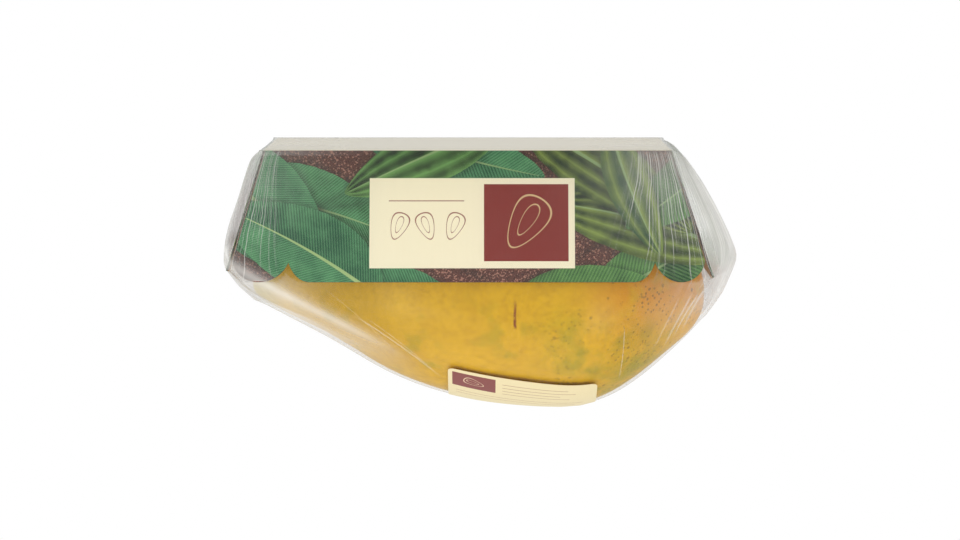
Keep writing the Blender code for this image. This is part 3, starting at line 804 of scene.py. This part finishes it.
def leaf_print():
    """The tray's printed face: broad leaves over a speckled maroon ground, with a plain panel."""
    sheet = Finish("leaf_print")
    u, v, _ = sheet.parts(sheet.uv("Print"))
    flat = sheet.vector(u, v)
    mottle = sheet.noise(flat, 0.075, 4.0, 0.6)
    grain = sheet.noise(flat, 2.2, 3.0, 0.7)
    spark = sheet.parts(sheet.cells(flat, 1.5, "Color"))[0]
    colour = sheet.blend(grain.rise(0.3, 0.7), srgb(70, 34, 30), srgb(114, 72, 60))
    colour = sheet.blend(spark.above(0.84) * 0.8, colour, srgb(178, 126, 106))
    colour = sheet.blend(spark.below(0.16) * 0.6, colour, srgb(52, 26, 26))
    on_end = u.above(END_PRINT / MM / 2.0)
    u = u - on_end * END_PRINT_SHIFT
    teal_dark, teal_light = srgb(22, 80, 52), srgb(98, 164, 110)
    green_dark, green_light = srgb(26, 72, 34), srgb(106, 156, 82)
    olive_dark, olive_light = srgb(28, 50, 20), srgb(130, 150, 68)
    pale_rib = srgb(176, 200, 132)
    leaves = [
        ((-52, 80), 205, 92, 17, 0.10, green_dark, green_light, {"pitch": 2.1}),
        ((8, 84), -18, 84, 15, 0.06, teal_dark, teal_light, {"pitch": 1.6}),
        ((-14, 82), 196, 78, 15, -0.12, green_dark, green_light, {"pitch": 1.9}),
        ((128, 20), 172, 92, 20, -0.14, green_dark, teal_light, {"pitch": 1.5}),
        ((60, -12), 160, 96, 17, 0.08, teal_dark, teal_light, {"pitch": 1.8}),
        ((-128, 52), -24, 98, 19, 0.16, olive_dark, olive_light, {"pleats": 17.0, "fold": 0.12}),
        ((-20, -16), 152, 104, 17, -0.10, olive_dark, olive_light, {"pleats": 15.0, "fold": 0.1}),
        ((-12, -14), 22, 88, 15, 0.04, olive_dark, green_light, {"pleats": 13.0}),
        ((140, -6), 128, 94, 25, 0.06, teal_dark, teal_light, {"pitch": 1.5, "midrib": 0.016}),
        ((50, 76), -38, 92, 21, 0.14, teal_dark, teal_light, {"pitch": 1.6, "rib": pale_rib}),
        ((-132, -6), 44, 74, 15, -0.10, green_dark, green_light, {"pitch": 2.0}),
        ((-66, -12), 104, 70, 11, 0.12, green_dark, olive_light, {"pleats": 9.0}),
    ]
    for *shape, style in leaves:
        colour = leaf(sheet, u, v, mottle, colour, *shape, **style)

    ink = srgb(134, 40, 31)
    cream = sheet.blend(grain.rise(0.3, 0.8) * 0.3, srgb(253, 243, 212), srgb(247, 235, 200))
    plate = (1.0 - on_end) * within(u, v, *PANEL)
    square = plate * within(u, v, *PANEL_SQUARE)
    colour = sheet.blend(plate, colour, cream)
    colour = sheet.blend(square, colour, ink)
    large = halved_fruit(u, v, (-23.3, 37.2), 14.5, 58.0)
    colour = sheet.blend(large * square, colour, srgb(214, 184, 134))
    for centre, turn in (((13.0, 39.0), 70.0), ((27.0, 39.0), 110.0), ((41.0, 39.0), 70.0)):
        colour = sheet.blend(halved_fruit(u, v, centre, 7.0, turn) * plate * 0.9, colour, ink)
    colour = sheet.blend(plate * within(u, v, *PANEL_RULE), colour, ink)
    unprinted = v.below(0.2)
    colour = sheet.blend(unprinted, colour, srgb(252, 242, 216))
    shader = sheet.principled(
        base_color=colour,
        roughness=0.45,
        normal=sheet.bump((u * (math.tau * MM / FLUTE_PITCH)).sin(), 0.00006, 0.3),
        specular_ior_level=0.4,
    )
    return sheet.done(shader)


# Film


def contents_tree():
    """What the film is drawn over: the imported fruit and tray."""
    vertices, triangles = [], []
    for name in ("papaya", "card_tray"):
        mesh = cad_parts[name].data
        start = len(vertices)
        vertices += [vertex.co.copy() for vertex in mesh.vertices]
        triangles += [[start + index for index in polygon.vertices] for polygon in mesh.polygons]
    return BVHTree.FromPolygons(vertices, triangles)


def gather_tree(outline):
    """The gathered film beyond an end wall: a bulge with puckers, for the film to pass over."""
    outline = np.array(outline)
    heights = np.linspace(outline[0, 2], outline[-1, 2], GATHER_ROWS)
    reach = np.interp(heights, outline[:, 2], outline[:, 0])
    width = np.interp(heights, outline[:, 2], outline[:, 1])
    for _ in range(2):
        reach[1:-1] = (reach[:-2] + 2.0 * reach[1:-1] + reach[2:]) / 4.0
        width[1:-1] = (width[:-2] + 2.0 * width[1:-1] + width[2:]) / 4.0
    across = np.linspace(-1.0, 1.0, GATHER_COLUMNS)
    vertices, faces = [], []
    for row, height in enumerate(heights):
        for column, part in enumerate(across):
            y = part * width[row]
            pucker = noise.noise(Vector((y * 120.0, height * 34.0, reach[row] * 20.0))) * 0.0013
            inward = 0.0006 + 0.0050 * abs(part) ** 3 - pucker * (1.0 - part ** 4)
            x = math.copysign(min(abs(reach[row]) - inward, FILM_HALF_LENGTH), reach[row])
            vertices.append(Vector((x, y, height)))
            if row and column:
                last = row * GATHER_COLUMNS + column
                before = last - GATHER_COLUMNS
                faces.append((last, last - 1, before - 1, before))
    return BVHTree.FromPolygons(vertices, faces)


def box_grid(name, cell):
    """A box the size of the film's solid, cut into even cells."""
    low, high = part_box("film_wrap")
    bpy.ops.object.select_all(action="DESELECT")
    bpy.ops.mesh.primitive_cube_add(
        size=1.0, location=(low + high) / 2.0, scale=high - low, calc_uvs=False
    )
    piece = bpy.context.object
    piece.name = name
    bpy.ops.object.transform_apply(location=True, rotation=True, scale=True)
    bpy.ops.object.mode_set(mode="EDIT")
    bpy.ops.mesh.select_mode(type="EDGE")
    bpy.ops.mesh.select_all(action="DESELECT")
    builder = bmesh.from_edit_mesh(piece.data)
    for edge in builder.edges:
        ends = edge.verts[0].co - edge.verts[1].co
        edge.select = abs(ends.x) > 0.01
    bmesh.update_edit_mesh(piece.data)
    bpy.ops.mesh.subdivide(number_cuts=1)
    bpy.ops.mesh.select_all(action="SELECT")
    bpy.ops.mesh.subdivide(number_cuts=int((high.y - low.y) / cell))
    bpy.ops.object.mode_set(mode="OBJECT")
    return piece


def neighbours_of(mesh):
    """Each vertex's four neighbours, with one repeated where there are three."""
    edges = numbers(mesh.edges, "vertices", 2, np.int32)
    pairs = np.concatenate((edges, edges[:, ::-1]))
    pairs = pairs[np.argsort(pairs[:, 0], kind="stable")]
    starts = np.searchsorted(pairs[:, 0], np.arange(len(mesh.vertices) + 1))
    counts = np.diff(starts)
    slots = np.minimum(np.arange(4)[None, :], (counts - 1)[:, None])
    return pairs[:, 1][starts[:-1, None] + slots]


def vertex_normals(points, faces):
    first, second, third, fourth = (points[faces[:, corner]] for corner in range(4))
    cross = np.cross(third - first, fourth - second)
    total = np.zeros_like(points)
    for corner in range(4):
        for axis in range(3):
            total[:, axis] += np.bincount(faces[:, corner], cross[:, axis], len(points))
    return total / np.maximum(np.linalg.norm(total, axis=1), 1e-12)[:, None]


def cast(tree, directions):
    """How far from the film's middle a surface lies in each direction, 0 where there is none."""
    reach = np.zeros(len(directions))
    for index, direction in enumerate(directions):
        way = Vector(direction)
        hit = tree.ray_cast(FILM_MIDDLE + way * FAR_OUT, -way, FAR_OUT)[0]
        if hit is not None:
            reach[index] = (hit - FILM_MIDDLE).length
    return reach


def draw_tight(piece, steps):
    """Let the film shrink from its solid's shape until what it holds, or its own pull, stops it."""
    mesh = piece.data
    middle = np.array(FILM_MIDDLE)
    away = numbers(mesh.vertices, "co", 3) - middle
    directions = away / np.linalg.norm(away, axis=1)[:, None]
    held = cast(contents_tree(), directions)
    inner = held + FILM_CLEARANCE
    for outline in (BLOSSOM_GATHERS, STEM_GATHERS):
        inner = np.maximum(inner, cast(gather_tree(outline), directions))
    start = cast(tree_of(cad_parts["film_wrap"]), directions)
    faces = numbers(mesh.polygons, "vertices", 4, np.int32)
    neighbours = neighbours_of(mesh)
    evened = start
    for _ in range(EVENING_ROUNDS):
        evened = evened[neighbours].mean(1)
    inner = np.maximum(inner, evened - MOST_SINK)
    reach = np.maximum(start, inner)
    down = np.maximum(-directions[:, 2], 0.05)
    under = np.where(directions[:, 2] < -0.05, (middle[2] - 0.0002) / down, FAR_OUT)
    for step in range(steps):
        points = middle + directions * reach[:, None]
        if step % 6 == 0:
            normals = vertex_normals(points, faces)
            facing = np.maximum((normals * directions).sum(1), LEAST_FACING)
        centres = points[neighbours].mean(1) - middle
        pulled = (normals * centres).sum(1) / facing
        change = np.clip((pulled - reach) * STEP_SHARE, -MOST_STEP, MOST_STEP)
        reach = np.minimum(np.maximum(reach + change, inner), under)
    points = middle + directions * reach[:, None]
    mesh.vertices.foreach_set("co", points.astype(np.float32).ravel())
    mesh.update()
    return points, reach - held


def tree_of(piece):
    places = [vertex.co for vertex in piece.data.vertices]
    return BVHTree.FromPolygons(places, [list(face.vertices) for face in piece.data.polygons])


def smooth_step(values, low, high):
    share = np.clip((values - low) / (high - low), 0.0, 1.0)
    return share * share * (3.0 - 2.0 * share)


def make_film():
    """Clear stretch film, drawn over the fruit and tray and gathered at the four base corners."""
    film = box_grid("stretch_film", FILM_CELL)
    points, slack = draw_tight(film, RELAX_STEPS)

    x, y, z = points.T
    base_end = np.where(x > 0.0, BASE_STEM_X, -BASE_BLOSSOM_X)
    inward_x = base_end - np.abs(x)
    inward_y = BASE_HALF_WIDTH - np.abs(y)
    fan = np.arctan2(z + FAN_DEPTH, inward_x - inward_y)
    from_origin = np.hypot(z + FAN_DEPTH, inward_x - inward_y)
    distance = np.sqrt(inward_x ** 2 + inward_y ** 2 + z ** 2)
    set_uv(film, "Folds", np.stack((fan, from_origin), 1))
    lean = np.where(x > 0.0, math.tan(STEM_END_LEAN), math.tan(BLOSSOM_END_LEAN))
    past_end = np.abs(x) - base_end - z.clip(0.0, RIM_HEIGHT) * lean
    loose = smooth_step(slack, 0.0020, 0.0150) * smooth_step(np.abs(x), 0.070, 0.115)
    at_corner = np.exp(-((distance / CORNER_REACH) ** 2))
    at_corner = at_corner * np.where((x > 0.0) & (z > 0.003), 0.35, 1.0)
    beyond = smooth_step(past_end, -0.003, 0.008)
    haze = 0.008 + 0.16 * loose + 0.20 * at_corner + 0.30 * beyond
    # Painted highlight: the soft lights' reflection on the film, painted as a milky band with a
    # thin bright streak in it and a fainter sheen above it towards the stem end.
    over_sheen_line = z - (SHEEN_LOW + SHEEN_CLIMB * (SHEEN_STEM_X - x) / SHEEN_LENGTH)
    sheen_band = smooth_step(over_sheen_line, -0.0160, -0.0020) * smooth_step(over_sheen_line, 0.0110, 0.0000)
    sheen_band = sheen_band * smooth_step(x, 0.018, 0.070)
    sheen_above = smooth_step(over_sheen_line, 0.0, 0.0080) * smooth_step(x, 0.030, 0.080)
    sheen_streak = np.exp(-(((over_sheen_line + 0.0055) / 0.0026) ** 2)) * smooth_step(x, 0.030, 0.075)
    set_number(film, "haze", haze)
    set_number(film, "veil_and_sheen", 0.22 * sheen_band + 0.14 * sheen_above + 0.26 * sheen_streak)
    set_number(film, "gathers", at_corner * 0.8 + beyond * 0.7)
    joined("stretch_film", [film], [clear_film()], 180.0)
    fitted(film, "clear_film", "film_wrap")
    return film


def rays(film, fan, distance, per_radian, width):
    """Thin creases that fan out from a base corner, each with its own strength and length."""
    bent = film.noise(film.vector(fan * 3.0, distance * 30.0), 1.0, 2.0)
    turn = fan * per_radian + bent * (per_radian * 0.06)
    slot = turn.math("FLOOR")
    strength = film.chance(slot) * 0.8 + 0.2
    length = film.chance(slot + 0.37) * 0.060 + 0.060
    off = abs(turn - slot - 0.5 + (film.chance(slot + 0.71) - 0.5) * 0.7) * distance / per_radian
    line = off.rise(width, width * 0.3)
    return line * distance.rise(length, length * 0.75) * strength


def clear_film():
    """Clear film: nearly unseen where it is drawn flat, milky and creased where it gathers."""
    film = Finish("clear_film")
    place = film.object_place()
    fan, distance, _ = film.parts(film.uv("Folds"))
    haze = film.attribute("haze")
    gathers = film.attribute("gathers")
    x, y, z = film.parts(place)
    fold_place = film.vector(fan * 12.0, distance * 12.0, x * 10.0 + y * 7.0)
    folds = film.noise(fold_place, 1.6, 3.0, 0.55)
    drift = film.noise(film.stretched(place, (0.5, 1.0, 1.0)), 34.0, 3.0, 0.6)
    ridge = (0.012 - abs(folds - 0.5)).rise(0.0, 0.010)
    inward = x.rise(0.02, -0.02)
    from_middle = abs(y).rise(0.006, 0.034)
    fan_reach = fan.rise(1.26 - inward * 0.26, 1.36 - inward * 0.20) * fan.rise(2.6, 2.2)
    all_rays = rays(film, fan, distance, 17.0, 0.00036) * 0.9
    all_rays = all_rays.most(rays(film, fan, distance, 46.0, 0.00030) * 0.8)
    creases = all_rays * fan_reach * z.rise(0.078, 0.060) * z.rise(-0.001, 0.004)
    creases = creases * (inward * 0.15 + 0.75) * from_middle * (fan.rise(1.78, 1.60) * 0.5 + 0.5)
    for low, high, start, end, bow, width, strength in FRUIT_CREASES:
        along = (z - low) / (high - low)
        curve = along * (end - start) + along * (1.0 - along) * bow + start
        crease = abs(x - curve).rise(width, width * 0.1) * along.rise(0.0, 0.2)
        crease = crease * along.rise(1.0, 0.7) * y.rise(0.0, -0.01)
        creases = creases + crease * strength
    edge = film.node("LayerWeight", inputs={"Blend": 0.5}, output="Facing").rise(0.70, 1.0)
    uneven = folds.rise(0.38, 0.72) * (from_middle * 0.28 + 0.06) + drift * 0.4 + 0.68
    # The film's own haze, whiter at grazing angles, plus the painted highlight band that the film
    # carries as an attribute.
    milk_and_sheen = haze * uneven + edge * 0.22 + film.attribute("veil_and_sheen") * (drift * 0.7 + 0.65)
    veil_and_sheen = (milk_and_sheen + ridge * gathers * from_middle * 0.10 + creases * 0.62).least(0.92)
    height = folds * (from_middle * 0.8 + 0.2) + drift * 0.3
    normal = film.bump(height * (gathers + 0.08) + creases * 0.25, 0.0016, 0.5)
    gloss_inputs = {"Color": WHITE, "Roughness": 0.13, "Normal": normal}
    gloss = film.node("BsdfGlossy", inputs=gloss_inputs)
    through = film.node("BsdfTransparent", inputs={"Color": (0.985, 0.985, 0.98, 1.0)})
    grazing = film.node("LayerWeight", inputs={"Blend": 0.14, "Normal": normal}, output="Fresnel")
    shine = (grazing * 0.45 + 0.008).least(0.5)
    clear = film.node("MixShader", inputs={0: shine, 1: through, 2: gloss})
    milky = film.principled(base_color=srgb(248, 246, 240), roughness=0.42, normal=normal)
    return film.done(film.node("MixShader", inputs={0: veil_and_sheen, 1: clear, 2: milky}))


# Label


def make_label(film):
    """A paper label with rounded corners, laid on the film over the crown of the fruit."""
    surface = tree_of(film)
    length = LABEL_STEM_X - LABEL_BLOSSOM_X
    columns = np.linspace(0.0, length, LABEL_COLUMNS)
    along, across = np.meshgrid(columns, np.linspace(0.0, LABEL_HEIGHT, LABEL_ROWS))
    for edge_u, inner_u in ((0.0, LABEL_CORNER), (length, length - LABEL_CORNER)):
        for edge_v, inner_v in ((0.0, LABEL_CORNER), (LABEL_HEIGHT, LABEL_HEIGHT - LABEL_CORNER)):
            du, dv = along - inner_u, across - inner_v
            out = (du * (edge_u - inner_u) >= 0.0) & (dv * (edge_v - inner_v) >= 0.0)
            far = np.hypot(du, dv)
            pull = np.where(out & (far > LABEL_CORNER), LABEL_CORNER / np.maximum(far, 1e-9), 1.0)
            along, across = inner_u + du * pull, inner_v + dv * pull
    places = np.empty((*along.shape, 3))
    for index in np.ndindex(along.shape):
        share = along[index] / length
        turn = LABEL_STEM_ANGLE + (LABEL_BLOSSOM_ANGLE - LABEL_STEM_ANGLE) * share
        turn += across[index] / LABEL_BEND_RADIUS
        outward = Vector((0.0, math.sin(turn), math.cos(turn)))
        axis = Vector((LABEL_STEM_X - along[index], 0.0, LABEL_AXIS_HEIGHT))
        spot = surface.ray_cast(axis + outward * 0.2, -outward)[0]
        places[index] = spot + outward * LABEL_LIFT
    up = np.array((0.0, 0.0, 1.0))
    label = laid_grid("paper_label", places, up, np.stack((along, across), 2))
    thicken(label, LABEL_THICKNESS)
    joined("paper_label", [label], [label_paper(), cut_card()])
    fitted(label, "label_paper", "label_sticker")


def label_paper():
    """Cream coated paper with a plain dark-red block and a few thin rules."""
    paper = Finish("label_paper")
    u, v, _ = paper.parts(paper.uv("Print"))
    grain = paper.noise(paper.vector(u, v), 1.6, 4.0, 0.7)
    colour = paper.blend(grain.rise(0.3, 0.7), srgb(234, 218, 172), srgb(228, 210, 162))
    block = within(u, v, *LABEL_BLOCK)
    colour = paper.blend(block, colour, srgb(130, 62, 55))
    inner = halved_fruit(u, v, (13.3, 10.0), 5.2, 20.0)
    colour = paper.blend(inner * block, colour, srgb(226, 196, 160))
    for height, end in LABEL_RULES:
        start = 28.0 if height < 20.0 else 4.0
        rule = within(u, v, start, end, height - 0.24, height + 0.24)
        colour = paper.blend(rule * 0.75, colour, srgb(150, 100, 84))
    normal = paper.bump(grain, 0.0001, 0.4)
    shader = paper.principled(base_color=colour, roughness=0.45, normal=normal)
    return paper.done(shader)


# Floor, light and camera


def make_floor():
    """A pale floor. From below it is clear, and under the tray it lets light to the base."""
    bpy.ops.object.select_all(action="DESELECT")
    bpy.ops.mesh.primitive_plane_add(size=10.0)
    floor = bpy.context.object
    floor.name = "floor"
    pale = Finish("pale_floor")
    x, y, _ = pale.parts(pale.object_place())
    low_x, high_x = BASE_BLOSSOM_X - LIT_MARGIN, BASE_STEM_X + LIT_MARGIN
    half_width = BASE_HALF_WIDTH + LIT_MARGIN
    under_tray = within(x, y, low_x, high_x, -half_width, half_width)
    behind = pale.node("NewGeometry", output="Backfacing")
    seen = pale.node("LightPath", output="Is Camera Ray")
    matt = pale.principled(base_color=srgb(248, 248, 247), roughness=0.9)
    passes = behind.most(under_tray * (1.0 - seen))
    inputs = {0: passes, 1: matt, 2: pale.node("BsdfTransparent")}
    floor.data.materials.append(pale.done(pale.node("MixShader", inputs=inputs)))


def soft_light(name, place, aim, size, power):
    """A square soft light aimed at a point."""
    light = bpy.data.lights.new(name, "AREA")
    light.shape = "SQUARE"
    light.size = size
    light.energy = power
    lamp = bpy.data.objects.new(name, light)
    lamp.location = place
    lamp.rotation_euler = (Vector(aim) - Vector(place)).to_track_quat("-Z", "Y").to_euler()
    bpy.context.scene.collection.objects.link(lamp)


def make_light():
    """An even white surround, and soft lights above and in front."""
    world = bpy.data.worlds.new("studio")
    world.use_nodes = True
    bpy.context.scene.world = world
    tree = world.node_tree
    tree.nodes.clear()
    seen = tree.nodes.new("ShaderNodeLightPath")
    output = tree.nodes.new("ShaderNodeOutputWorld")
    mixer = tree.nodes.new("ShaderNodeMixShader")
    tree.links.new(seen.outputs["Is Camera Ray"], mixer.inputs[0])
    tree.links.new(mixer.outputs[0], output.inputs["Surface"])
    for slot, colour, strength in ((1, WORLD_COLOUR, WORLD_LIGHT), (2, WHITE, 1.0)):
        glow = tree.nodes.new("ShaderNodeBackground")
        glow.inputs["Color"].default_value = colour
        glow.inputs["Strength"].default_value = strength
        tree.links.new(glow.outputs[0], mixer.inputs[slot])
    for lamp in LAMPS:
        soft_light(*lamp)


def make_camera():
    """The photograph's view: from just below the base, with the camera upside down."""
    lens = bpy.data.cameras.new("photo_view")
    lens.sensor_width = SENSOR_MM
    lens.lens = SENSOR_MM * FOCAL_PIXELS / PHOTO_WIDTH
    camera = bpy.data.objects.new("photo_view", lens)
    camera.location = CAMERA_PLACE
    upright = (CAMERA_AIM - CAMERA_PLACE).to_track_quat("-Z", "Y").to_matrix()
    rolled = upright @ Matrix.Rotation(math.pi, 3, "Z")
    camera.rotation_euler = rolled.to_euler()
    bpy.context.scene.collection.objects.link(camera)
    bpy.context.scene.camera = camera


bpy.context.scene.view_settings.view_transform = "Standard"
make_camera()
make_light()
make_floor()
make_fruit()
make_tray()
stretch_film = make_film()
make_label(stretch_film)
